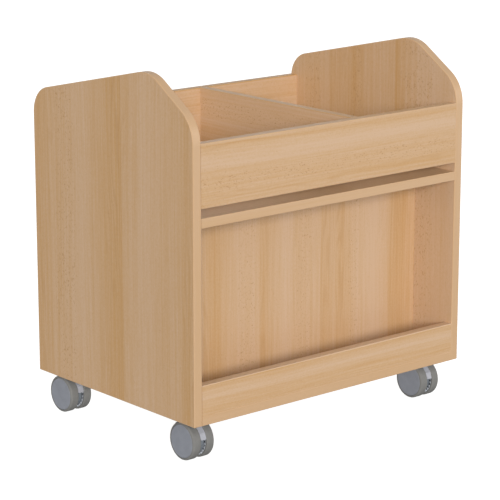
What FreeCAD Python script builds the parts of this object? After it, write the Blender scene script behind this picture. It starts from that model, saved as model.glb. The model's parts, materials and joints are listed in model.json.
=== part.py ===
import FreeCAD, Part
import math
import os
import Sketcher

# A book cart: a cabinet of laminated boards with an open two-part bin on top, a display ledge
# in front and an open compartment behind, on four twin-wheel castors.
# Frame: origin on the floor under the middle, +Z up, the display side faces -Y. Millimetres.

os.makedirs("parts", exist_ok=True)
doc = FreeCAD.newDocument("book_cart")

# ---------------------------------------------------------------------------------------------
# Driving dimensions
# ---------------------------------------------------------------------------------------------

SIZES = {
    # cabinet
    "width": 700,
    "depth": 500,
    "board": 19,                # thickness of every board
    "band": 2,                  # thickness of the edge banding
    "arris": 1.4,               # rounding of the banding's two long edges
    "underside": 85,            # height of the cabinet's underside above the floor
    # side panels: heights above the underside, depths from the front
    "peak_height": 659,
    "peak_depth": 129.5,
    "top_slope": 12.5,          # the top rises towards the front, degrees
    "front_slope": 33,          # and falls from the peak to the front edge, degrees
    "rear_round": 55,
    "peak_round": 78,
    "front_round": 72,
    # inner boards: heights above the underside
    "shelf_height": 379.5,      # underside of the bin's floor
    "slot": 17.5,               # gap between the bin's floor and its front and rear panels
    "bin_wall": 122,            # height of the bin's front and rear panels and divider
    "divider_offset": 70,       # the divider stands this far to the right of the middle
    "display_inset": 112.4,     # how far the display's back panel is set in from the front
    "lip_rise": 60,             # height of the lip above the bottom board
    # fasteners
    "dowel_radius": 4,
    "dowel_length": 30,
    "dowel_grip": 12,           # how much of a dowel sits in the face-drilled board
    "glue_gap": 0.1,            # play of a dowel, cam, bolt or screw in its hole
    "cam_radius": 7.5,
    "cam_depth": 13.5,
    "cam_inset": 34,            # cam centre from the end of its board
    "cam_reach": 150,           # cam centre from the middle, front and rear
    "cam_socket": 5,            # how far the bolt's bore runs past the cam's centre
    "cam_cross": 7,             # the cross slot in the cam's face: length, width and depth
    "cross_width": 1.2,
    "cross_depth": 1.6,
    "bolt_radius": 3,
    "bolt_grip": 11,            # length of a cam bolt in the side panel
    "bolt_play": 0.5,
    "screw_pitch": 46,
    "screw_radius": 2.2,
    "screw_length": 15,
    "screw_rim": 4.2,           # radius of the head where it meets the plate
    "screw_face": 2.6,          # and at its outer face
    "screw_head": 1.8,          # height of the head
    "screw_socket": 1.2,        # radius and depth of the driver's socket
    # castors
    "castor_side_inset": 47.5,  # pivot from the side panel's outer face
    "castor_end_inset": 54,     # pivot from the front and rear edges
    "trail": 13,                # axle behind the pivot
    "wheel_radius": 37.5,
    "wheel_width": 18.5,
    "wheel_gap": 14,            # space between the two wheels of a castor
    "tread_step": 4.5,          # radial thickness of the tread
    "outer_round": 4.2,         # rounding of its outer shoulder
    "inner_round": 2.2,
    "axle_radius": 4,
    "running_gap": 0.05,        # radial play of a wheel on its axle
    "plate_side": 60,
    "plate_thick": 2.5,
    "plate_round": 6,
    "pin_radius": 4,
    "pin_foot": 48,             # height of the kingpin's lower end
    "snap_height": 4,           # retaining groove above that end
    "snap_depth": 0.6,
    "snap_section": 0.9,        # radius of the groove's own section
    "pin_play": 0.1,            # play of the kingpin in the housing
    "hole_play": 0.3,           # play of the screws in the plate and of the pin in the fender
    "press": 0.02,              # play of an axle or hinge pin that is pressed in
    "ball_radius": 1.5,
    "race_radius": 15,
    "race_play": 0.3,
    "race_gap": 1.6,            # between the mounting plate and the housing's head
    "head_radius": 20,
    "head_gap": 0.8,            # between the wheels and the head
    "web_radius": 28,
    "web_gap": 0.8,             # between the web and each wheel
    "neck_front": 9,            # front and rear faces of the housing's neck, behind the pivot
    "neck_depth": 30,
    "fender_gap": 0.5,          # between the fender and each wheel
    "fender_sink": 0.9,         # the fender's outer corners inside the wheels' radius
    "fender_foot": 6.5,         # lower end of the fender above the axle
    "fender_end": 5,            # upper end of the fender in front of the axle
    "fender_round": 2,          # rounding of its lower corners
    # brake levers of the front castors
    "hinge_back": 27,           # hinge pin behind the pivot
    "hinge_height": 64,
    "lever_pin": 1.5,
    "lever_half": 3,            # half the arm's width
    "lever_gap": 0.4,           # between the arm and the slot's sides
    "hub_radius": 3.8,
    "slot_rise": 8,             # the slot in the neck reaches this far above the hinge pin
    "slot_drop": 7,             # and this far below it
    "slot_front": 6,            # and this far in front of it
    "pedal_start": 19.5,        # behind the hinge pin
    "pedal_end": 27,
    "pedal_half": 8,
    "pedal_round": 1,
    # wheels: along the axle from the inner face, and radii
    "axle_stop": 4,             # axle end inside the wheel's outer face
    "shell": 2.6,               # thickness of the disc and rim
    "hub_wall": 4,
    "core_inset": 0.6,          # hub end inside the wheel's inner face
    "rim_inset": 1.6,           # rim edge inside both faces
    "rib_half": 0.8,
    "rib_start": 4,
    "rib_bite": 0.6,            # how far the ribs run into the hub, the rim and the disc
    "tooth_half": 1.7,
    "tooth_height": 3.8,
    "tooth_length": 2,
    "tooth_inset": 0.3,
}

FULL_TURN = 360
RIBS = 12
TEETH = 22
BALLS = 16
FENDER_BENDS = (31, 57)         # where the fender's flat faces meet, degrees above the axle

sheet = doc.addObject("Spreadsheet::Sheet", "sizes")
for row, (alias, value) in enumerate(SIZES.items(), start=1):
    sheet.set(f"A{row}", alias)
    sheet.set(f"B{row}", str(value))
    sheet.setAlias(f"B{row}", alias)
doc.recompute()


def sized(text):
    """An expression over the sheet, from words and arithmetic."""
    for alias in sorted(SIZES, key=len, reverse=True):
        text = text.replace(f"<{alias}>", f"sizes.{alias}")
    return text


def number(text):
    """The value of an expression over the sheet."""
    value = sheet.evalExpression(sized(text))
    return float(getattr(value, "Value", value))


def bind(item, **expressions):
    """Ties properties of an object to expressions; x, y and z are its place."""
    for name, text in expressions.items():
        target = f".Placement.Base.{name}" if name in ("x", "y", "z") else name
        item.setExpression(target, sized(text))
    return item


# Places that several pieces share, as expressions
INNER = "(<width> / 2 - <board>)"
HALF = "(<board> / 2)"
FRONT = "(-<depth> / 2)"
REAR = "(<depth> / 2)"
BOTTOM = "<underside>"
BOTTOM_TOP = "(<underside> + <board>)"
LIP_TOP = "(<underside> + <board> + <lip_rise>)"
SHELF = "(<underside> + <shelf_height>)"
SHELF_TOP = "(<underside> + <shelf_height> + <board>)"
WALL = "(<underside> + <shelf_height> + <board> + <slot>)"
WALL_TOP = "(<underside> + <shelf_height> + <board> + <slot> + <bin_wall>)"
DISPLAY = "(-<depth> / 2 + <display_inset>)"
AXLE = "<wheel_radius>"

CLOSE = 1e-3                    # places nearer than this are the same place

finished = []


def keep(item, label):
    """Marks an object as a finished sub-part, named by its label."""
    item.Label = label
    finished.append(item)
    return item


# ---------------------------------------------------------------------------------------------
# Building blocks
# ---------------------------------------------------------------------------------------------

def block(x, y, z):
    """A box between (low, high) expressions on each axis."""
    item = doc.addObject("Part::Box", "block")
    for axis, size, (low, high) in zip("xyz", ("Length", "Width", "Height"), (x, y, z)):
        bind(item, **{size: f"({high}) - ({low})", axis: low})
    return item


def about(middle, half):
    """The (low, high) expressions of a span centred on middle."""
    return f"{middle} - ({half})", f"{middle} + ({half})"


TURNS = {
    "x": FreeCAD.Rotation(FreeCAD.Vector(0, 1, 0), 90),
    "y": FreeCAD.Rotation(FreeCAD.Vector(1, 0, 0), -90),
    "z": FreeCAD.Rotation(),
}


def rod(axis, radius, place, length):
    """A cylinder that starts at place and runs along +axis."""
    item = doc.addObject("Part::Cylinder", "rod")
    item.Placement.Rotation = TURNS[axis]
    return bind(item, Radius=radius, Height=length, **dict(zip("xyz", place)))


def group(items):
    """Several solids as one object."""
    item = doc.addObject("Part::Compound", "group")
    item.Links = items
    return item


def joined(items):
    item = doc.addObject("Part::MultiFuse", "joined")
    item.Shapes = items
    item.Refine = True
    return item


def cut(base, tool):
    item = doc.addObject("Part::Cut", "cut")
    item.Base = base
    item.Tool = tool
    return item


def plane_of(body, role):
    """One of a body's own origin planes."""
    return next(o for o in body.Origin.OriginFeatures if o.Role == role)


def sketch_on(body, role):
    sketch = body.newObject("Sketcher::SketchObject", "outline")
    sketch.AttachmentSupport = (plane_of(body, role), [""])
    sketch.MapMode = "FlatFace"
    return sketch


def outline(sketch, corners):
    """A closed polygon whose corners are held at (x, y) expressions from the sketch's origin."""
    points = [FreeCAD.Vector(number(x), number(y), 0) for x, y in corners]
    first = sketch.GeometryCount
    for start, end in zip(points, points[1:] + points[:1]):
        sketch.addGeometry(Part.LineSegment(start, end))
    for step, (corner, point) in enumerate(zip(corners, points)):
        line = first + step
        following = first + (step + 1) % len(corners)
        sketch.addConstraint(Sketcher.Constraint("Coincident", line, 2, following, 1))
        for kind, text, value in (("DistanceX", corner[0], point.x), ("DistanceY", corner[1], point.y)):
            if abs(value) < CLOSE:
                axis = -2 if kind == "DistanceX" else -1
                sketch.addConstraint(Sketcher.Constraint("PointOnObject", line, 1, axis))
            else:
                held = sketch.addConstraint(Sketcher.Constraint(kind, -1, 1, line, 1, value))
                sketch.setExpression(f"Constraints[{held}]", sized(text))


def pad(body, corners, length, role="YZ_Plane", offset=None):
    """A polygon drawn on one of the body's planes and padded."""
    sketch = sketch_on(body, role)
    outline(sketch, corners)
    if offset:
        sketch.setExpression("AttachmentOffset.Base.z", sized(offset))
    feature = body.newObject("PartDesign::Pad", "pad")
    feature.Profile = sketch
    bind(feature, Length=length)
    sketch.Visibility = False
    doc.recompute()
    return feature


def edges_where(feature, test):
    """Names of a feature's edges whose midpoint and direction pass a test."""
    names = []
    for index, edge in enumerate(feature.Shape.Edges, start=1):
        middle = edge.valueAt((edge.FirstParameter + edge.LastParameter) / 2)
        if test(edge, middle):
            names.append(f"Edge{index}")
    return names


def fillet(body, feature, names, radius):
    item = body.newObject("PartDesign::Fillet", "fillet")
    item.Base = (feature, names)
    item.Radius = number(radius)
    bind(item, Radius=radius)
    doc.recompute()
    return item


# ---------------------------------------------------------------------------------------------
# Fasteners inside the cabinet, and the holes that they fill
# ---------------------------------------------------------------------------------------------

DRILL = "(<dowel_radius> + <glue_gap>)"
DRILL_LENGTH = "(<dowel_length> + 2 * <glue_gap>)"
SPAN = "(<dowel_length> - <dowel_grip>)"       # the part of a dowel in the end-drilled board

dowels = []
dowel_holes = []


def dowel(axis, sign, place):
    """A dowel across a joint at place. The end-drilled board lies on the side of -sign."""
    start = "(-<dowel_grip>)" if sign < 0 else f"(-{SPAN})"
    along = "xyz".index(axis)
    for radius, length, back, kept in (
        ("<dowel_radius>", "<dowel_length>", "0", dowels),
        (DRILL, DRILL_LENGTH, "<glue_gap>", dowel_holes),
    ):
        moved = list(place)
        moved[along] = f"{place[along]} + {start} - {back}"
        kept.append(rod(axis, radius, moved, length))


def spaced(count, low, length):
    """Middles of equal parts of a length that starts at low."""
    return [f"{low} + {length} * {(2 * step + 1) / (2 * count)}" for step in range(count)]


FRONT_MIDDLE = f"({FRONT} + {HALF})"            # middle of the front boards' thickness
REAR_MIDDLE = f"({REAR} - {HALF})"
DISPLAY_MIDDLE = f"({DISPLAY} + {HALF})"

END_JOINTS = [  # (y, z) of the dowels at both ends of each board between the sides
    *[(y, f"{z} + {HALF}") for z in (BOTTOM, SHELF) for y in spaced(4, FRONT, "<depth>")],
    *[(y, z) for y in (FRONT_MIDDLE, REAR_MIDDLE) for z in spaced(2, WALL, "<bin_wall>")],
    *[(DISPLAY_MIDDLE, z) for z in spaced(3, BOTTOM_TOP, f"({SHELF} - {BOTTOM_TOP})")],
    *[(FRONT_MIDDLE, z) for z in spaced(2, BOTTOM_TOP, "<lip_rise>")],
]
for y, z in END_JOINTS:
    dowel("x", 1, (INNER, y, z))
    dowel("x", -1, (f"-{INNER}", y, z))
for x in spaced(3, f"-{INNER}", f"2 * {INNER}"):
    dowel("z", -1, (x, FRONT_MIDDLE, BOTTOM_TOP))
    dowel("z", -1, (x, DISPLAY_MIDDLE, BOTTOM_TOP))
    dowel("z", 1, (x, DISPLAY_MIDDLE, SHELF))
for z in spaced(2, WALL, "<bin_wall>"):
    dowel("y", -1, ("<divider_offset>", f"{FRONT} + <board>", z))
    dowel("y", 1, ("<divider_offset>", f"{REAR} - <board>", z))


def outward(sign, start, length):
    """The low end of a span along X that starts at start from the middle and runs outwards."""
    return start if sign > 0 else f"-({start}) - ({length})"


cams = []
cam_bolts = []
cam_holes = []


def cam_joint(sign, y, underside):
    """A cam in the underside of a board, and its bolt into the side panel, at one end."""
    centre = f"({INNER} - <cam_inset>)"
    x = centre if sign > 0 else f"-{centre}"
    middle = f"{underside} + {HALF}"
    length = "(<cam_inset> + <bolt_grip>)"
    bore_length = f"{length} + <glue_gap>"
    wide = "<bolt_radius> + <bolt_play>"
    cam_bolts.append(rod("x", "<bolt_radius>", (outward(sign, centre, length), y, middle), length))
    bore = rod("x", wide, (outward(sign, centre, bore_length), y, middle), bore_length)
    pocket = rod("z", "<cam_radius> + <glue_gap>", (x, y, underside), "<cam_depth> + <glue_gap>")
    cam_holes.extend([bore, pocket])
    socket_length = "<cam_socket> + <cam_radius> + 1"
    socket_start = outward(sign, f"{centre} - <cam_socket>", socket_length)
    socket = rod("x", wide, (socket_start, y, middle), socket_length)
    high = (underside, f"{underside} + <cross_depth>")
    long_slot = block(about(x, "<cam_cross> / 2"), about(y, "<cross_width> / 2"), high)
    short_slot = block(about(x, "<cross_width> / 2"), about(y, "<cam_cross> / 2"), high)
    body = rod("z", "<cam_radius>", (x, y, underside), "<cam_depth>")
    cams.append(cut(body, joined([socket, long_slot, short_slot])))


for underside in (BOTTOM, SHELF):
    for y in ("-<cam_reach>", "<cam_reach>"):
        for sign in (-1, 1):
            cam_joint(sign, y, underside)

keep(group(dowels), "wood_dowels")
keep(group(cam_bolts), "cam_bolts")
keep(group(cams), "cam_locks")

# castor places: name, left or right, front or rear
CASTORS = {
    "front_left": ("-", "-"),
    "front_right": ("", "-"),
    "rear_left": ("-", ""),
    "rear_right": ("", ""),
}
PIVOT_X = "(<width> / 2 - <castor_side_inset>)"
PIVOT_Y = "(<depth> / 2 - <castor_end_inset>)"
PLATE_BOTTOM = "(<underside> - <plate_thick>)"
THROUGH = "60"                  # longer than anything that a cutting tool passes through

screws = []
screw_holes = []
plate_holes = {name: [] for name in CASTORS}


def castor_screw(name, x, y):
    """A pan-head screw up through the mounting plate into the bottom board."""
    face = f"{PLATE_BOTTOM} - <screw_head>"
    shank = rod("z", "<screw_radius>", (x, y, face), "<screw_length> + <screw_head>")
    head = doc.addObject("Part::Cone", "screw_head")
    bind(head, Radius1="<screw_face>", Radius2="<screw_rim>", Height="<screw_head>", x=x, y=y, z=face)
    socket = rod("z", "<screw_socket>", (x, y, face), "<screw_socket>")
    screws.append(cut(joined([shank, head]), socket))
    hole_length = "<screw_length> - <plate_thick> + <glue_gap>"
    screw_holes.append(rod("z", "<screw_radius> + <glue_gap>", (x, y, BOTTOM), hole_length))
    plate_holes[name].append(rod("z", "<screw_radius> + <hole_play>", (x, y, AXLE), THROUGH))


for name, (left, front) in CASTORS.items():
    for x in about(f"{left}{PIVOT_X}", "<screw_pitch> / 2"):
        for y in about(f"{front}{PIVOT_Y}", "<screw_pitch> / 2"):
            castor_screw(name, x, y)
keep(group(screws), "castor_screws")

holes = group(dowel_holes + cam_holes + screw_holes)


# ---------------------------------------------------------------------------------------------
# Boards and their edge banding
# ---------------------------------------------------------------------------------------------

def side_corners(inset):
    """Corners of the side panel's outline in (depth, height), drawn in by inset all round."""
    peak_y = f"({FRONT} + <peak_depth>)"
    peak_z = "(<underside> + <peak_height>)"
    top = "tan(<top_slope> * 1deg)"
    face = "tan(<front_slope> * 1deg)"
    top_drop = f"{inset} / cos(<top_slope> * 1deg)"
    face_drop = f"{inset} / cos(<front_slope> * 1deg)"
    shift = f"(({face_drop}) - ({top_drop})) / ({top} + {face})"
    rear_y = f"({REAR} - {inset})"
    front_y = f"({FRONT} + {inset})"
    return [
        (front_y, f"{BOTTOM} + {inset}"),
        (rear_y, f"{BOTTOM} + {inset}"),
        (rear_y, f"{peak_z} - {top} * ({rear_y} - {peak_y}) - {top_drop}"),
        (f"{peak_y} + {shift}", f"{peak_z} - {top} * {shift} - {top_drop}"),
        (front_y, f"{peak_z} - {face} * ({peak_y} - {front_y}) - {face_drop}"),
    ]


def side_blank(body, inset, start):
    """The side panel's shape, padded to one board's thickness from x = start."""
    corners = side_corners(inset)
    feature = pad(body, corners, "<board>", offset=start)
    for corner, radius in ((2, "<rear_round>"), (3, "<peak_round>"), (4, "<front_round>")):
        y, z = (number(text) for text in corners[corner])
        names = edges_where(
            feature, lambda edge, middle: abs(middle.y - y) < CLOSE and abs(middle.z - z) < CLOSE
        )
        feature = fillet(body, feature, names, f"{radius} - {inset}")
    return feature


def side_panel(label, start):
    """A drilled side board, short of its outline by the band's thickness."""
    body = doc.addObject("PartDesign::Body", f"{label}_board")
    side_blank(body, "<band>", start)
    keep(cut(body, holes), f"{label}_panel")


def side_edging(label, start):
    """A band right round the side panel, its outer arrises rounded."""
    body = doc.addObject("PartDesign::Body", f"{label}_band")
    blank = side_blank(body, "0", start)
    faces = [
        f"Face{index}" for index, face in enumerate(blank.Shape.Faces, start=1)
        if face.Surface.isPlanar() and abs(abs(face.normalAt(0, 0).x) - 1) < CLOSE
    ]
    ring = body.newObject("PartDesign::Thickness", "ring")
    ring.Base = (blank, faces)
    ring.Value = number("<band>")
    ring.Reversed = True
    ring.Join = 1
    bind(ring, Value="<band>")
    doc.recompute()
    outer_edges = edges_where(ring, lambda edge, middle: on_edges(blank.Shape, middle))
    fillet(body, ring, outer_edges, "<arris>")
    keep(body, f"{label}_edging")


def on_edges(shape, point):
    """Does a point lie on one of a shape's edges?"""
    return any(edge.distToShape(Part.Vertex(point))[0] < CLOSE for edge in shape.Edges)


def strip(x, y, z, out):
    """A straight band. out is the axis and sign that its rounded face looks along."""
    item = block(x, y, z)
    doc.recompute()
    axis = "xyz".index(out[0])
    box = item.Shape.BoundBox
    lows = (box.XMin, box.YMin, box.ZMin)
    highs = (box.XMax, box.YMax, box.ZMax)
    face = highs[axis] if out[1] == "+" else lows[axis]
    radius = number("<arris>")
    rounded = doc.addObject("Part::Fillet", "strip")
    rounded.Base = item
    rounded.Edges = [
        (index, radius, radius) for index, edge in enumerate(item.Shape.Edges, start=1)
        if edge.Length > 2 * number("<board>") and abs(edge.CenterOfMass[axis] - face) < CLOSE
    ]
    return rounded


ACROSS = (f"-{INNER}", INNER)


def board(label, x, y, z):
    """A drilled board."""
    keep(cut(block(x, y, z), holes), label)


def boards():
    """The flat boards, each short of its banded edges by the band's thickness."""
    band = "<band>"
    deep = (f"{FRONT} + {band}", f"{REAR} - {band}")
    board("bottom_board", ACROSS, deep, (BOTTOM, BOTTOM_TOP))
    board("shelf_board", ACROSS, deep, (SHELF, SHELF_TOP))
    for name, z in (("bottom_board", (BOTTOM, BOTTOM_TOP)), ("shelf", (SHELF, SHELF_TOP))):
        front = strip(ACROSS, (FRONT, deep[0]), z, "y-")
        rear = strip(ACROSS, (deep[1], REAR), z, "y+")
        keep(group([front, rear]), f"{name}_edging")

    wall = (f"{WALL} + {band}", f"{WALL_TOP} - {band}")
    front_wall = (FRONT, f"{FRONT} + <board>")
    rear_wall = (f"{REAR} - <board>", REAR)
    for name, y in (("front_panel", front_wall), ("rear_panel", rear_wall)):
        board(name, ACROSS, y, wall)
        lower = strip(ACROSS, y, (WALL, wall[0]), "z-")
        upper = strip(ACROSS, y, (wall[1], WALL_TOP), "z+")
        keep(group([lower, upper]), f"{name}_edging")

    divider = about("<divider_offset>", HALF)
    between = (f"{FRONT} + <board>", f"{REAR} - <board>")
    board("divider_panel", divider, between, wall)
    lower = strip(divider, between, (WALL, wall[0]), "z-")
    upper = strip(divider, between, (wall[1], WALL_TOP), "z+")
    keep(group([lower, upper]), "divider_edging")

    board("display_back_panel", ACROSS, (DISPLAY, f"{DISPLAY} + <board>"), (BOTTOM_TOP, SHELF))
    board("display_lip", ACROSS, front_wall, (BOTTOM_TOP, f"{LIP_TOP} - {band}"))
    keep(strip(ACROSS, front_wall, (f"{LIP_TOP} - {band}", LIP_TOP), "z+"), "lip_edging")


for label, start in (("left_side", "-<width> / 2"), ("right_side", INNER)):
    side_panel(label, start)
    side_edging(label, start)
boards()


# ---------------------------------------------------------------------------------------------
# Castors. Each function takes the pivot's place, as expressions; the axle lies behind it.
# ---------------------------------------------------------------------------------------------

HEAD_BOTTOM = "(2 * <wheel_radius> + <head_gap>)"
HEAD_TOP = f"({PLATE_BOTTOM} - <race_gap>)"
BALL_HEIGHT = f"({PLATE_BOTTOM} - <race_gap> / 2)"
RACE_SECTION = "(<ball_radius> + <race_play>)"
WEB_HALF = "(<wheel_gap> / 2 - <web_gap>)"
FENDER_HALF = "(<wheel_gap> / 2 - <fender_gap>)"
RIM = "(<wheel_radius> - <tread_step>)"


def torus(x, y, z, radius, section):
    item = doc.addObject("Part::Torus", "torus")
    return bind(item, Radius1=radius, Radius2=section, x=x, y=y, z=z)


def through(axis, radius, place):
    """A cutting tool: a long cylinder centred on place."""
    moved = list(place)
    moved["xyz".index(axis)] += f" - {THROUGH} / 2"
    return rod(axis, radius, moved, THROUGH)


def mounting_plate(name, x, y):
    """A square plate with rounded corners, four holes, a pin hole and the upper ball race."""
    half = "<plate_side> / 2"
    blank = block(about(x, half), about(y, half), (PLATE_BOTTOM, BOTTOM))
    doc.recompute()
    rounded = doc.addObject("Part::Fillet", "plate")
    rounded.Base = blank
    corner = number("<plate_round>")
    rounded.Edges = [
        (index, corner, corner) for index, edge in enumerate(blank.Shape.Edges, start=1)
        if abs(edge.Length - number("<plate_thick>")) < CLOSE
    ]
    pin_hole = through("z", "<pin_radius> + <running_gap>", (x, y, BOTTOM))
    race = torus(x, y, BALL_HEIGHT, "<race_radius>", RACE_SECTION)
    keep(cut(rounded, joined([pin_hole, race, *plate_holes[name]])), f"{name}_mounting_plate")


def kingpin(x, y):
    """The swivel's pin, flush with the plate's top, with a retaining groove near its foot."""
    shaft = rod("z", "<pin_radius>", (x, y, "<pin_foot>"), f"{BOTTOM} - <pin_foot>")
    groove_radius = "<pin_radius> + <snap_section> - <snap_depth>"
    return cut(shaft, torus(x, y, "<pin_foot> + <snap_height>", groove_radius, "<snap_section>"))


def balls(x, y):
    """The swivel bearing's ring of balls."""
    ring = []
    for step in range(BALLS):
        angle = f"{FULL_TURN * step / BALLS} * 1deg"
        ball = doc.addObject("Part::Sphere", "ball")
        ball_x = f"{x} + <race_radius> * cos({angle})"
        ball_y = f"{y} + <race_radius> * sin({angle})"
        ring.append(bind(ball, Radius="<ball_radius>", x=ball_x, y=ball_y, z=BALL_HEIGHT))
    return ring


def housing(name, x, y, hinge=None):
    """The swivelling body: a round web between the wheels, a neck behind the pin and a head.

    hinge is the place (y, z) of a brake lever's pin; the neck is slotted there.
    """
    axle_y = f"{y} + <trail>"
    web = rod("x", "<web_radius>", (f"{x} - {WEB_HALF}", axle_y, AXLE), f"2 * {WEB_HALF}")
    neck = block(about(x, WEB_HALF), (f"{y} + <neck_front>", f"{y} + <neck_depth>"), (AXLE, HEAD_TOP))
    clearance = block(about(x, THROUGH), (f"{y} + <head_radius>", f"{y} + {THROUGH}"), (HEAD_BOTTOM, BOTTOM))
    head = rod("z", "<head_radius>", (x, y, HEAD_BOTTOM), f"{HEAD_TOP} - {HEAD_BOTTOM}")
    tools = [
        rod("z", "<pin_radius> + <pin_play>", (x, y, "<pin_foot> - <pin_play>"), THROUGH),
        through("x", "<axle_radius> + <press>", (x, axle_y, AXLE)),
        torus(x, y, BALL_HEIGHT, "<race_radius>", RACE_SECTION),
    ]
    if hinge:
        hinge_y, hinge_z = hinge
        slot_y = (f"{hinge_y} - <slot_front>", f"{hinge_y} + {THROUGH}")
        slot_z = (f"{hinge_z} - <slot_drop>", f"{hinge_z} + <slot_rise>")
        tools.append(block(about(x, "<lever_half> + <lever_gap>"), slot_y, slot_z))
        tools.append(through("x", "<lever_pin> + <press>", (x, hinge_y, hinge_z)))
    keep(cut(joined([web, cut(neck, clearance), head]), joined(tools)), f"{name}_housing")


def fender(name, x, y):
    """A guard of flat faces over the front of the wheels' gap, with a hole for the kingpin."""
    corner = "(<wheel_radius> - <fender_sink>)"
    foot = f"asin(<fender_foot> / {corner})"
    end = f"acos(<fender_end> / {corner})"
    bends = [foot, *[f"({angle} * 1deg)" for angle in FENDER_BENDS], end]
    outer = [(f"-{corner} * cos({angle})", f"{corner} * sin({angle})") for angle in bends]
    inner = [("-<fender_end>", "<fender_foot>")]
    body = doc.addObject("PartDesign::Body", f"{name}_guard")
    guard = pad(body, outer + inner, f"2 * {FENDER_HALF}", offset=f"-{FENDER_HALF}")
    lower = number("<fender_foot>")
    sides = edges_where(
        guard, lambda edge, middle: abs(middle.z - lower) < CLOSE and abs(middle.x) > lower - CLOSE
    )
    fillet(body, guard, sides, "<fender_round>")
    axle_place = (x, f"{y} + <trail>", AXLE)
    bind(body, **dict(zip("xyz", axle_place)))
    hollow = through("x", "<web_radius> + <glue_gap>", axle_place)
    pin_hole = through("z", "<pin_radius> + <hole_play>", (x, y, BOTTOM))
    keep(cut(body, joined([hollow, pin_hole])), f"{name}_fender")


def axle(name, x, y):
    """A steel pin through the web; both ends stop inside the wheels."""
    half = "(<wheel_gap> / 2 + <wheel_width> - <axle_stop>)"
    shaft = rod("x", "<axle_radius>", (f"{x} - {half}", f"{y} + <trail>", AXLE), f"2 * {half}")
    keep(shaft, f"{name}_axle")


# the brake lever's outline in (behind, above) its hinge pin
ARM = [
    ("-3", "-3"), ("-3", "2.6"), ("6", "4.5"), ("<pedal_start> + 1", "1"), ("<pedal_start> + 1", "-3"),
    ("8", "-2.5"),
]
PEDAL = [
    ("<pedal_start>", "1.4"), ("<pedal_end> - 1", "-2.4"), ("<pedal_end>", "-3.6"),
    ("<pedal_end> - 1", "-6.4"), ("<pedal_start>", "-3"),
]


def brake_lever(name, x, hinge):
    """A foot lever behind the wheels: an arm in the gap, a wide pedal and a bored hub."""
    hinge_y, hinge_z = hinge
    body = doc.addObject("PartDesign::Body", f"{name}_lever")
    bind(body, x=x, y=hinge_y, z=hinge_z)
    pad(body, ARM, "2 * <lever_half>", offset="-<lever_half>")
    wide = pad(body, PEDAL, "2 * <pedal_half>", offset="-<pedal_half>")
    half = number("<pedal_half>")
    ends = edges_where(wide, lambda edge, middle: abs(abs(middle.x) - half) < CLOSE)
    fillet(body, wide, ends, "<pedal_round>")
    hub = rod("x", "<hub_radius>", (f"{x} - <lever_half>", hinge_y, hinge_z), "2 * <lever_half>")
    bore = through("x", "<lever_pin> + <running_gap>", (x, hinge_y, hinge_z))
    keep(cut(joined([body, hub]), bore), f"{name}_brake_lever")
    pin = rod("x", "<lever_pin>", (f"{x} - {WEB_HALF}", hinge_y, hinge_z), f"2 * {WEB_HALF}")
    keep(pin, f"{name}_lever_pin")


def revolved(body, corners):
    """A half-section, drawn in (along the axle, radius), turned right round the axle."""
    sketch = sketch_on(body, "XZ_Plane")
    outline(sketch, corners)
    turn = body.newObject("PartDesign::Revolution", "turn")
    turn.Profile = sketch
    turn.ReferenceAxis = (sketch, ["H_Axis"])
    turn.Angle = FULL_TURN
    doc.recompute()
    return turn


def spread(body, feature, count):
    """Repeats a feature round the axle."""
    pattern = body.newObject("PartDesign::PolarPattern", "pattern")
    pattern.Originals = [feature]
    pattern.Axis = (plane_of(body, "X_Axis"), [""])
    pattern.Angle = FULL_TURN
    pattern.Occurrences = count
    body.Tip = pattern
    doc.recompute()


def place_wheel(body, x, y, side):
    """Puts a wheel, drawn from x = 0 outwards, on its side of the gap."""
    if side == "left":
        body.Placement.Rotation = FreeCAD.Rotation(FreeCAD.Vector(0, 0, 1), 180)
    sign = "-" if side == "left" else "+"
    bind(body, x=f"{x} {sign} <wheel_gap> / 2", y=f"{y} + <trail>", z=AXLE)


def wheel_core(name, x, y, side):
    """The wheel's moulding: a flat closed face outside, a hub, a rim, ribs and a toothed ring."""
    label = f"{name}_{side}_wheel_core"
    body = doc.addObject("PartDesign::Body", label)
    bore = "(<axle_radius> + <running_gap>)"
    hub = "(<axle_radius> + <hub_wall>)"
    face = "<wheel_width>"
    disc = "(<wheel_width> - <shell>)"
    rim_end = "(<wheel_width> - <rim_inset>)"
    rim_inside = f"({RIM} - <shell>)"
    bead = f"({RIM} - <core_inset>)"               # a raised bead runs round the outer face
    revolved(body, [
        ("<core_inset>", bore), ("<core_inset>", hub), (disc, hub), (disc, rim_inside),
        ("<rim_inset>", rim_inside), ("<rim_inset>", RIM), (rim_end, RIM), (f"{face} - <core_inset>", bead),
        (face, f"{RIM} - 2 * <core_inset>"), (face, "0"), (f"{disc} + <running_gap>", "0"),
        (f"{disc} + <running_gap>", bore),
    ])
    foot = f"{hub} - <rib_bite>"
    tip = f"{rim_inside} + <rib_bite>"
    rib = [("-<rib_half>", foot), ("<rib_half>", foot), ("<rib_half>", tip), ("-<rib_half>", tip)]
    spread(body, pad(body, rib, f"{disc} - <rib_start> + <rib_bite>", offset="<rib_start>"), RIBS)
    low = f"{RIM} - <tooth_inset> - <tooth_height>"
    high = f"{RIM} - <tooth_inset>"
    tooth = [("-<tooth_half>", low), ("<tooth_half>", low), ("<tooth_half>", high), ("-<tooth_half>", high)]
    spread(body, pad(body, tooth, "<tooth_length>", offset="<tooth_inset>"), TEETH)
    place_wheel(body, x, y, side)
    keep(body, label)


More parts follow.
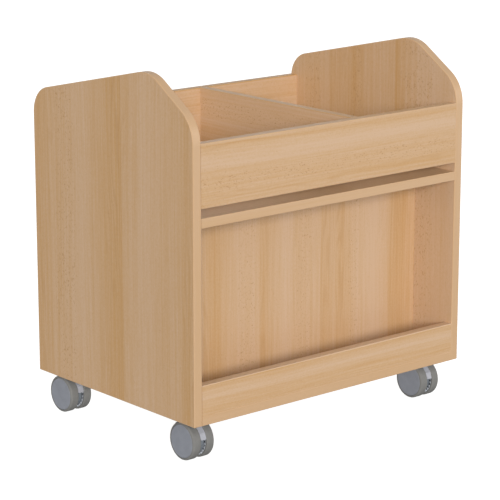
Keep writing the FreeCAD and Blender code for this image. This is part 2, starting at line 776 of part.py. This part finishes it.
def wheel_tread(name, x, y, side):
    """The soft ring round the rim, its outer shoulder more rounded than the inner one."""
    label = f"{name}_{side}_wheel_tread"
    body = doc.addObject("PartDesign::Body", label)
    face = "<wheel_width>"
    revolved(body, [("0", RIM), ("0", "<wheel_radius>"), (face, "<wheel_radius>"), (face, RIM)])
    for place, radius in (("0", "<inner_round>"), (face, "<outer_round>")):
        names = edges_where(
            body.Tip,
            lambda edge, middle: abs(middle.x - number(place)) < CLOSE
            and abs(math.hypot(middle.y, middle.z) - number("<wheel_radius>")) < CLOSE,
        )
        fillet(body, body.Tip, names, radius)
    place_wheel(body, x, y, side)
    keep(body, label)


kingpins = []
bearings = []
for name, (left, front) in CASTORS.items():
    x = f"({left}{PIVOT_X})"
    y = f"({front}{PIVOT_Y})"
    hinge = (f"({y} + <hinge_back>)", "<hinge_height>") if name.startswith("front") else None
    mounting_plate(name, x, y)
    kingpins.append(kingpin(x, y))
    bearings += balls(x, y)
    housing(name, x, y, hinge)
    fender(name, x, y)
    axle(name, x, y)
    if hinge:
        brake_lever(name, x, hinge)
    for side in ("left", "right"):
        wheel_core(name, x, y, side)
        wheel_tread(name, x, y, side)
keep(group(kingpins), "kingpins")
keep(group(bearings), "swivel_balls")

# ---------------------------------------------------------------------------------------------
# Checks and export
# ---------------------------------------------------------------------------------------------

doc.recompute()
for item in doc.Objects:
    if {"Invalid", "Error"} & set(item.State):
        raise RuntimeError(f"{item.Label} did not recompute: {item.State}")
for item in finished:
    if item.Shape.isNull() or not item.Shape.isValid():
        raise RuntimeError(f"{item.Label} has no valid shape")
for item in finished:
    item.Shape.exportStep(f"parts/{item.Label}.step")
    print(f"{item.Label}: {len(item.Shape.Solids)} solids, {item.Shape.Volume / 1000:.2f} cm3")
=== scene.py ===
import json
import math

import bpy
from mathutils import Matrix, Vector


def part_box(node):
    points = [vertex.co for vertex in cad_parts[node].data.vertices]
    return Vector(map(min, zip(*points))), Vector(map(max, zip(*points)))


# The book cart's looks: beech-decor laminate with its edge banding, grey twin-wheel castors,
# and a plain pale studio. Lengths are metres and angles degrees unless a name says otherwise.

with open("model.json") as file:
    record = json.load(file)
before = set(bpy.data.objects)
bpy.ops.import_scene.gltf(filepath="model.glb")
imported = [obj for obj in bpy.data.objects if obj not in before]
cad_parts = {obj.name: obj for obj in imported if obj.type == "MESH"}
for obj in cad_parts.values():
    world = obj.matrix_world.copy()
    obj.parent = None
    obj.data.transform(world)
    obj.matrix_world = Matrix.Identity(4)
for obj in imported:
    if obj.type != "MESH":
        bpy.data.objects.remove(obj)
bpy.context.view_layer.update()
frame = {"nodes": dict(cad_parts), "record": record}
nodes = frame["nodes"]

# ---------------------------------------------------------------------------------------------
# Node tree helpers
# ---------------------------------------------------------------------------------------------


def linear(red, green, blue):
    """A display colour, 0 to 255, as a linear colour with alpha."""
    def channel(value):
        value /= 255
        return value / 12.92 if value <= 0.04045 else ((value + 0.055) / 1.055) ** 2.4
    return (channel(red), channel(green), channel(blue), 1.0)


class Graph:
    """A material's node tree, with one short call for each kind of node used here."""

    def __init__(self, name):
        self.material = bpy.data.materials.new(name)
        self.material.use_nodes = True
        self.tree = self.material.node_tree
        self.shader = self.tree.nodes["Principled BSDF"]
        self.place = self.add("ShaderNodeTexCoord").outputs["Object"]
        self.x, self.y, self.z = self.add("ShaderNodeSeparateXYZ", {0: self.place}).outputs

    def add(self, kind, inputs=None, **settings):
        node = self.tree.nodes.new(kind)
        for name, value in settings.items():
            setattr(node, name, value)
        for key, value in (inputs or {}).items():
            self.put(node.inputs[key], value)
        return node

    def put(self, socket, value):
        if isinstance(value, bpy.types.NodeSocket):
            self.tree.links.new(value, socket)
        else:
            socket.default_value = value

    def set(self, **inputs):
        """Sets the shader's own sockets; an underscore in a name stands for a space."""
        for name, value in inputs.items():
            self.put(self.shader.inputs[name.replace("_", " ")], value)

    def math(self, operation, first, second=0.0, clamp=False):
        node = self.add("ShaderNodeMath", {0: first, 1: second}, operation=operation,
                        use_clamp=clamp)
        return node.outputs[0]

    def multiply(self, first, second):
        return self.math("MULTIPLY", first, second)

    def sum(self, *parts):
        total = parts[0]
        for part in parts[1:]:
            total = self.math("ADD", total, part)
        return total

    def vector(self, *parts):
        return self.add("ShaderNodeCombineXYZ", dict(enumerate(parts))).outputs[0]

    def stretched(self, x, y, z):
        """The place with each of its coordinates scaled."""
        return self.vector(self.multiply(self.x, x), self.multiply(self.y, y),
                           self.multiply(self.z, z))

    def noise(self, vector, scale=1.0, detail=2.0, roughness=0.5):
        """Noise about 0, from -0.5 to 0.5."""
        node = self.add("ShaderNodeTexNoise", {
            "Vector": vector, "Scale": scale, "Detail": detail, "Roughness": roughness})
        return self.math("SUBTRACT", node.outputs[0], 0.5)

    def span(self, value, low, high, smooth=True):
        """0 below low and 1 above high, or the other way round where low is the larger."""
        return self.add("ShaderNodeMapRange", {"Value": value, "From Min": low, "From Max": high},
                        interpolation_type="SMOOTHSTEP" if smooth else "LINEAR").outputs[0]

    def ramp(self, value, stops):
        """Grey levels along value: stops are (position from 0 to 1, level)."""
        node = self.add("ShaderNodeValToRGB", {0: value})
        elements = node.color_ramp.elements
        while len(elements) < len(stops):
            elements.new(1.0)
        for element, (position, level) in zip(elements, stops):
            element.position = position
            element.color = (level, level, level, 1.0)
        return node.outputs[0]

    def mix(self, factor, first, second):
        """The colour from first, at factor 0, to second, at 1."""
        node = self.add("ShaderNodeMix", data_type="RGBA")
        colours = [socket for socket in node.inputs if socket.type == "RGBA"]
        for socket, value in zip([node.inputs[0]] + colours, (factor, first, second)):
            self.put(socket, value)
        return next(socket for socket in node.outputs if socket.type == "RGBA")

    def bump(self, height, distance, strength):
        node = self.add("ShaderNodeBump", {
            "Height": height, "Distance": distance, "Strength": strength})
        self.set(Normal=node.outputs[0])


def paint(graph, *names):
    """Gives CAD nodes the graph's material in place of their own."""
    for name in names:
        materials = nodes[name].data.materials
        materials.clear()
        materials.append(graph.material)


# ---------------------------------------------------------------------------------------------
# Beech-decor laminate
# ---------------------------------------------------------------------------------------------

BEECH_LIGHT = linear(205, 173, 141)
BEECH_DARK = linear(194, 152, 101)
BEECH_RING = linear(182, 139, 88)
BEECH_FLECK = linear(172, 130, 80)

# features of the figure per metre, across the grain and along it
WANDER = (5.0, 1.3)        # the slow drift of the whole figure
RING_DRIFT = (30.0, 4.0)   # bends the growth rings into loops
RING_CROWD = (11.0, 1.4)   # where the rings show
BROAD = (26.0, 1.1)        # broad streaks
LINES = (250.0, 2.6)       # thin dark lines
FINE = (640.0, 22.0)       # silky grain
SPECKLE = (330.0, 230.0)
FLECKS = (380.0, 200.0)
FLECK_PATCH = (13.0, 9.0)  # where the flecks gather
PORES = (1500.0, 160.0)    # in the surface only

JOINT = 0.0015             # a joint between two staves, metres
STREAK_SHIFT = 0.030       # metres by which the wander can move the streaks
JOINT_SHIFT = 0.003        # and the staves
STAVES_PER_METRE = 9.0     # on a board with no list of staves
STAVE_LOW, STAVE_RANGE = 0.25, 0.5  # their tones
SEED_STEP = 3.7            # how far one seed's noise is from the next
DEPTH_STEP = 0.2           # how fast the noise changes through the board, per metre

RINGS_PER_METRE = 95.0
RING_BEND = 6.5            # in rings
RING_LINE = (0.20, 0.46)   # where a ring's line starts and is full; 0.5 is midway
RING_AREA = (-0.06, 0.14)  # levels of the crowd noise
RING_STAVES = (0.75, 0.25)  # tones: no rings on a light stave, all of them on a dark one
RING_LEAST, RING_GAIN = 0.10, 0.65
RING_DEPTH = 0.55

BROAD_WEIGHT = 0.34
LINES_WEIGHT = 1.30
FINE_WEIGHT = 0.45
SPECKLE_WEIGHT = 0.62
CONTRAST, CONTRAST_LOSS = 1.45, 0.8  # of the lines: on a dark stave, and what a light one loses

FLECK_EDGE = (0.175, 0.245)  # noise levels where a fleck starts and is full
FLECK_ZONE_LIFT, FLECK_PATCH_LIFT = 0.055, 0.12
FLECK_DEPTH, FLECK_ZONE_DEPTH = 0.28, 0.38

BOARD_ROUGHNESS = 0.42
BOARD_GRIT = 0.00012       # metres


def stave_tones(g, place, low, high, staves):
    """Tone across a board of joined staves, which are listed as beech() takes them."""
    starts = [low + start / 1000 for start, _, _ in staves]
    ends = [start - JOINT for start in starts[1:]] + [high]
    stops = []
    for start, finish, (_, first, last) in zip(starts, ends, staves):
        stops += [((start - low) / (high - low), first), ((finish - low) / (high - low), last)]
    return g.ramp(g.math("DIVIDE", g.math("SUBTRACT", place, low), high - low), stops)


def beech(board, grain, across, depth, staves=None, flecks=(), seed=0.0, figure=1.0):
    """Paints a board with laminate printed as joined beech staves.

    grain, across and depth are axis letters: along the grain, across it in the board's face, and
    through the board. staves are (start, tone there, tone at its end) across the board, in
    millimetres from its low edge, tone 0 dark to 1 light. flecks are (start, end) zones with many
    ray flecks, in the same millimetres. figure scales the broad streaks and the rings.
    """
    g = Graph("beech_" + board)
    along, side, through = (getattr(g, letter) for letter in (grain, across, depth))
    low, high = (getattr(corner, across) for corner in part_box(board))
    shift = seed * SEED_STEP
    flat = g.math("ADD", g.multiply(through, DEPTH_STEP), shift)

    def drawn(features, place=side, detail=2.0, roughness=0.5):
        """Noise drawn out along the grain."""
        wide, tall = features
        vector = g.vector(g.multiply(place, wide), g.multiply(along, tall), flat)
        return g.noise(vector, detail=detail, roughness=roughness)

    # the grain wanders a little to and fro along the board
    wander = drawn(WANDER)
    warped = g.math("ADD", side, g.multiply(wander, STREAK_SHIFT))
    if staves:
        place = g.math("ADD", side, g.multiply(wander, JOINT_SHIFT))
        stave = stave_tones(g, place, low, high, staves)
    else:
        place = g.math("ADD", side, shift)
        cells = g.add("ShaderNodeTexVoronoi", {"W": place, "Scale": STAVES_PER_METRE},
                      voronoi_dimensions="1D", feature="F1")
        level = g.add("ShaderNodeSeparateColor", {0: cells.outputs["Color"]}).outputs[0]
        stave = g.math("ADD", g.multiply(level, STAVE_RANGE), STAVE_LOW)

    # growth rings: fine straight lines that close here and there into long pointed loops
    bend = g.multiply(drawn(RING_DRIFT, detail=1.0), RING_BEND)
    rings = g.math("ADD", g.multiply(side, RINGS_PER_METRE), bend)
    ring = g.math("ABSOLUTE", g.math("SUBTRACT", g.math("FRACT", rings), 0.5))
    crowd = g.multiply(g.span(drawn(RING_CROWD), *RING_AREA), g.span(stave, *RING_STAVES))
    loops = g.multiply(g.span(ring, *RING_LINE),
                       g.math("ADD", RING_LEAST, g.multiply(crowd, RING_GAIN)))

    broad = drawn(BROAD, warped, detail=3.0)
    lines = drawn(LINES, warped, detail=3.0, roughness=0.6)
    fine = drawn(FINE)
    speckle = drawn(SPECKLE, detail=1.0)
    contrast = g.math("SUBTRACT", CONTRAST, g.multiply(stave, CONTRAST_LOSS))
    tone = g.sum(stave,
                 g.multiply(broad, BROAD_WEIGHT * figure),
                 g.multiply(g.multiply(lines, contrast), LINES_WEIGHT),
                 g.multiply(fine, FINE_WEIGHT),
                 g.multiply(speckle, SPECKLE_WEIGHT))
    colour = g.mix(g.span(tone, 0.0, 1.0, smooth=False), BEECH_DARK, BEECH_LIGHT)
    colour = g.mix(g.multiply(loops, RING_DEPTH * figure), colour, BEECH_RING)

    # ray flecks: small broken dashes, thick in some zones and rare elsewhere
    zone = 0.0
    for start, end in flecks:
        start, end = low + start / 1000, low + end / 1000
        edge = (end - start) / 4
        inside = g.multiply(g.span(side, start, start + edge), g.span(side, end, end - edge))
        zone = g.math("MAXIMUM", zone, inside)
    patch = drawn(FLECK_PATCH)
    marks = g.sum(drawn(FLECKS, detail=1.0),
                  g.multiply(zone, FLECK_ZONE_LIFT),
                  g.multiply(patch, FLECK_PATCH_LIFT))
    fleck = g.multiply(g.span(marks, *FLECK_EDGE),
                       g.math("ADD", FLECK_DEPTH, g.multiply(zone, FLECK_ZONE_DEPTH)))
    colour = g.mix(fleck, colour, BEECH_FLECK)

    g.set(Base_Color=colour, IOR=1.45, Specular_IOR_Level=0.5)
    g.set(Roughness=g.math("ADD", BOARD_ROUGHNESS, g.multiply(fine, 0.12)))
    grit = g.sum(drawn(PORES), g.multiply(lines, 0.5), g.multiply(speckle, 0.8))
    g.bump(grit, distance=BOARD_GRIT, strength=0.35)
    paint(g, board)


# the staves that the photo shows, rounded to 5 mm and a tenth of a tone
LEFT_STAVES = [
    (0, 0.4, 0.3), (35, 0.5, 0.7), (140, 0.8, 0.5), (215, 0.1, 0.3),
    (265, 0.4, 0.7), (330, 0.8, 0.5), (430, 0.6, 0.3),
]
RIGHT_STAVES = [
    (0, 0.9, 0.7), (35, 0.8, 0.9), (110, 0.7, 0.2), (175, 0.5, 0.7),
    (240, 0.6, 0.2), (315, 0.5, 0.5), (375, 0.6, 0.5),
]
BACK_STAVES = [
    (0, 0.6, 0.7), (95, 0.5, 0.2), (125, 0.3, 0.7), (175, 0.8, 0.7),
    (240, 0.4, 0.8), (300, 0.9, 0.8), (325, 0.6, 0.7), (400, 0.4, 0.6),
    (445, 0.4, 0.3), (465, 0.5, 0.9), (505, 0.7, 1.0), (550, 1.0, 0.7),
    (590, 0.5, 0.2), (635, 0.4, 0.6),
]
FRONT_WALL_STAVES = [
    (0, 0.6, 0.3), (25, 0.5, 0.6), (60, 0.5, 1.0), (85, 1.0, 0.3), (115, 0.5, 0.7),
]
REAR_WALL_STAVES = [(0, 0.7, 0.6), (30, 0.8, 0.8), (65, 0.6, 0.8)]
DIVIDER_STAVES = [(0, 0.6, 0.6), (50, 0.8, 0.8)]
LIP_STAVES = [(0, 0.5, 0.4), (10, 0.5, 0.5), (25, 0.5, 0.9), (40, 0.8, 0.3)]

# zones with many ray flecks, rounded in the same way
LEFT_FLECKS = [(355, 440)]
RIGHT_FLECKS = [(50, 170), (270, 310), (395, 460)]
BACK_FLECKS = [(175, 235), (325, 385), (470, 510)]
FRONT_WALL_FLECKS = [(20, 60)]
DIVIDER_FLECKS = [(55, 110)]


def paint_boards():
    beech("left_side_panel", "z", "y", "x", LEFT_STAVES, LEFT_FLECKS, seed=1.0)
    beech("right_side_panel", "z", "y", "x", RIGHT_STAVES, RIGHT_FLECKS, seed=2.0)
    beech("display_back_panel", "z", "x", "y", BACK_STAVES, BACK_FLECKS, seed=3.0)
    beech("front_panel", "x", "z", "y", FRONT_WALL_STAVES, FRONT_WALL_FLECKS, seed=4.0, figure=0.7)
    beech("rear_panel", "x", "z", "y", REAR_WALL_STAVES, seed=5.0, figure=0.7)
    beech("display_lip", "x", "z", "y", LIP_STAVES, seed=6.0, figure=0.7)
    beech("divider_panel", "y", "z", "x", DIVIDER_STAVES, DIVIDER_FLECKS, seed=7.0)
    beech("shelf_board", "x", "y", "z", seed=8.0)
    beech("bottom_board", "x", "y", "z", seed=9.0)


BAND_BROAD = (90.0, 1.5)   # features per metre, across the band and along it
BAND_LINES = (420.0, 3.0)
BAND_ROUGHNESS = 0.28


def banding(name, along, across, seed, base=0.55):
    """Edge banding in the same decor: fine long lines along the edge and a glossier face.

    along and across are letters of the axes that add up to the way along the band and across it;
    base is its mean tone, 0 dark to 1 light.
    """
    g = Graph(name)
    length = g.sum(*[getattr(g, letter) for letter in along])
    width = g.sum(*[getattr(g, letter) for letter in across])

    def drawn(features, detail=2.0):
        wide, tall = features
        return g.noise(g.vector(g.multiply(width, wide), g.multiply(length, tall), seed),
                       detail=detail)

    lines = drawn(BAND_LINES, detail=3.0)
    tone = g.sum(base, g.multiply(drawn(BAND_BROAD), 0.40), g.multiply(lines, 0.35))
    colour = g.mix(g.span(tone, 0.0, 1.0, smooth=False), BEECH_DARK, BEECH_LIGHT)
    g.set(Base_Color=colour, Roughness=BAND_ROUGHNESS, IOR=1.5)
    g.bump(lines, distance=0.0001, strength=0.3)
    return g


def paint_banding():
    paint(banding("banding_side", "yz", "x", 1.0), "left_side_edging", "right_side_edging")
    paint(banding("banding_level", "x", "yz", 2.0),
          "front_panel_edging", "shelf_edging", "bottom_board_edging")
    paint(banding("banding_rear", "x", "yz", 2.0, base=0.0), "rear_panel_edging")
    paint(banding("banding_lip", "x", "yz", 2.0, base=1.0), "lip_edging")
    paint(banding("banding_deep", "y", "xz", 3.0, base=0.3), "divider_edging")


# ---------------------------------------------------------------------------------------------
# Castors and metal
# ---------------------------------------------------------------------------------------------

MOTTLE_PER_METRE, SPANGLE_PER_METRE, GRIT_PER_METRE = 60.0, 240.0, 2600.0
MOTTLE_DARK, MOTTLE_PALE = 0.86, 1.12  # of the moulding's own colour
# painted light: within this reach of the middle plane the toothed rings are painted paler, as if
# lit
PAINTED_LIGHT_REACH = (0.0096, 0.0102)  # from a castor's middle plane: where its toothed rings end, metres


def shade(colour, factor):
    return tuple(min(1.0, value * factor) for value in colour[:3]) + (1.0,)


def moulding(name, colour, roughness, grit=0.00006):
    """Moulded plastic or rubber: a faint mottled tone and a fine surface grit."""
    g = Graph(name)
    mottle = g.noise(g.place, scale=MOTTLE_PER_METRE, detail=3.0)
    factor = g.math("ADD", g.multiply(mottle, 1.2), 0.5, clamp=True)
    g.set(Base_Color=g.mix(factor, shade(colour, MOTTLE_DARK), shade(colour, MOTTLE_PALE)))
    g.set(Roughness=g.math("ADD", roughness, g.multiply(mottle, 0.1)), IOR=1.46)
    g.bump(g.noise(g.place, scale=GRIT_PER_METRE), distance=grit, strength=0.4)
    return g


def wheel_moulding():
    """The discs' grey moulding, with painted light: the toothed rings at the wheels' inner faces
    are painted paler, as if lit.
    """
    g = moulding("castor_disc", linear(142, 145, 153), 0.45)
    low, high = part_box("front_left_axle")
    middle = -(low.x + high.x) / 2  # the castors stand at the same distance on both sides
    reach = g.math("ABSOLUTE", g.math("SUBTRACT", g.math("ABSOLUTE", g.x), middle))
    disc = g.shader.inputs["Base Color"].links[0].from_socket
    ring_end, disc_start = PAINTED_LIGHT_REACH
    # painted light: a paler band on the toothed rings stands in for the light that reaches them
    g.set(Base_Color=g.mix(g.span(reach, disc_start, ring_end), disc, linear(196, 200, 206)))
    return g


def steel(name):
    """Zinc-plated steel: blotchy spangle and fine scratches."""
    g = Graph(name)
    spangle = g.noise(g.place, scale=SPANGLE_PER_METRE, detail=3.0)
    factor = g.math("ADD", g.multiply(spangle, 1.4), 0.5, clamp=True)
    g.set(Base_Color=g.mix(factor, linear(170, 172, 174), linear(205, 206, 206)), Metallic=1.0)
    g.set(Roughness=g.math("ADD", 0.36, g.multiply(spangle, 0.2)))
    g.bump(g.noise(g.stretched(300.0, 3000.0, 300.0)), distance=0.00003, strength=0.3)
    return g


def paint_castors():
    """Paints every castor piece, and the steel fasteners, by the material slot in the record."""
    slots = {item["node"]: item["material_slot"] for item in frame["record"]["subparts"]}
    finishes = {
        "castor_grey": wheel_moulding(),
        "castor_tread": moulding("castor_tread_rubber", linear(124, 123, 120), 0.55, grit=0.0001),
        "castor_silver": moulding("castor_fender", linear(172, 173, 180), 0.40),
        "castor_dark": moulding("castor_housing", linear(119, 125, 131), 0.45),
        "zinc_steel": steel("zinc_plate"),
    }
    for node, slot in slots.items():
        if slot in finishes:
            paint(finishes[slot], node)


def paint_dowels():
    g = Graph("dowel_beech")
    lines = g.noise(g.stretched(40.0, 700.0, 700.0), detail=3.0)
    g.set(Base_Color=g.mix(g.math("ADD", lines, 0.5), BEECH_DARK, BEECH_LIGHT), Roughness=0.6)
    paint(g, "wood_dowels")


# ---------------------------------------------------------------------------------------------
# Studio
# ---------------------------------------------------------------------------------------------

CAMERA_AZIMUTH = -40.53
CAMERA_ELEVATION = 13.77
CAMERA_DISTANCE = 4.364
CAMERA_AIM = Vector((-0.0064, -0.0074, 0.3283))
CAMERA_LENS = 155.3        # millimetres, as the sensor
CAMERA_SENSOR = 36.0

GROUND_LEVEL, SKY_LEVEL = 0.28, 0.48  # of the surround
GROUND_RISE, SKY_RISE = -0.15, 0.10   # the rise of the view where each begins, as a sine

FLOOR_HALF = 40.0
FLOOR_GREY = 0.35
FLOOR_GLOW = 0.93


def direction(azimuth, elevation):
    """The unit vector from the cart towards a place at that azimuth and elevation."""
    turn, rise = math.radians(azimuth), math.radians(elevation)
    level = math.cos(rise)
    return Vector((math.sin(turn) * level, -math.cos(turn) * level, math.sin(rise)))


def make_camera():
    data = bpy.data.cameras.new("camera")
    data.lens = CAMERA_LENS
    data.sensor_width = CAMERA_SENSOR
    item = bpy.data.objects.new("camera", data)
    bpy.context.scene.collection.objects.link(item)
    back = direction(CAMERA_AZIMUTH, CAMERA_ELEVATION)
    item.location = CAMERA_AIM + back * CAMERA_DISTANCE
    item.rotation_mode = "QUATERNION"
    item.rotation_quaternion = (-back).to_track_quat("-Z", "Y")
    bpy.context.scene.camera = item


def sun(name, azimuth, elevation, strength, spread, diffuse=True, glossy=True):
    """A far, soft light from that direction; diffuse and glossy say which shading it adds to."""
    data = bpy.data.lights.new(name, "SUN")
    data.energy = strength
    data.angle = math.radians(spread)
    item = bpy.data.objects.new(name, data)
    bpy.context.scene.collection.objects.link(item)
    item.rotation_mode = "QUATERNION"
    item.rotation_quaternion = (-direction(azimuth, elevation)).to_track_quat("-Z", "Y")
    item.visible_diffuse = diffuse
    item.visible_glossy = glossy


def make_lights():
    """Diffuse lights without gloss, so that no edge glares, and softboxes for the gloss alone."""
    sun("key", -35.0, 14.0, 2.70, 16.0, glossy=False)
    sun("rear_fill", 140.0, 5.0, 2.0, 30.0, glossy=False)
    sun("left_softbox", -50.0, 30.0, 0.40, 50.0, diffuse=False)
    sun("right_softbox", 41.0, 8.0, 0.60, 44.0, diffuse=False)


def make_world():
    """An even, plain studio surround, paler above the horizon than below it."""
    world = bpy.data.worlds.new("studio")
    bpy.context.scene.world = world
    world.use_nodes = True
    tree = world.node_tree
    place = tree.nodes.new("ShaderNodeTexCoord")
    split = tree.nodes.new("ShaderNodeSeparateXYZ")
    level = tree.nodes.new("ShaderNodeMapRange")
    for name, value in (("From Min", GROUND_RISE), ("From Max", SKY_RISE),
                        ("To Min", GROUND_LEVEL), ("To Max", SKY_LEVEL)):
        level.inputs[name].default_value = value
    tree.links.new(place.outputs["Generated"], split.inputs[0])
    tree.links.new(split.outputs["Z"], level.inputs["Value"])
    tree.links.new(level.outputs[0], tree.nodes["Background"].inputs["Color"])


def make_floor():
    """A wide pale floor. It stays out of the cart's own light and reflections."""
    half = FLOOR_HALF
    corners = [(-half, -half, 0), (half, -half, 0), (half, half, 0), (-half, half, 0)]
    mesh = bpy.data.meshes.new("floor")
    mesh.from_pydata(corners, [], [(0, 1, 2, 3)])
    item = bpy.data.objects.new("floor", mesh)
    bpy.context.scene.collection.objects.link(item)
    g = Graph("floor_paint")
    g.set(Base_Color=(FLOOR_GREY, FLOOR_GREY, FLOOR_GREY, 1.0), Roughness=1.0)
    g.set(Specular_IOR_Level=0.0, Emission_Color=(1.0, 1.0, 1.0, 1.0))
    g.set(Emission_Strength=FLOOR_GLOW)
    mesh.materials.append(g.material)
    item.visible_diffuse = False
    item.visible_glossy = False


make_camera()
make_world()
make_floor()
make_lights()
paint_boards()
paint_banding()
paint_castors()
paint_dowels()
bpy.context.scene.view_settings.view_transform = "Standard"
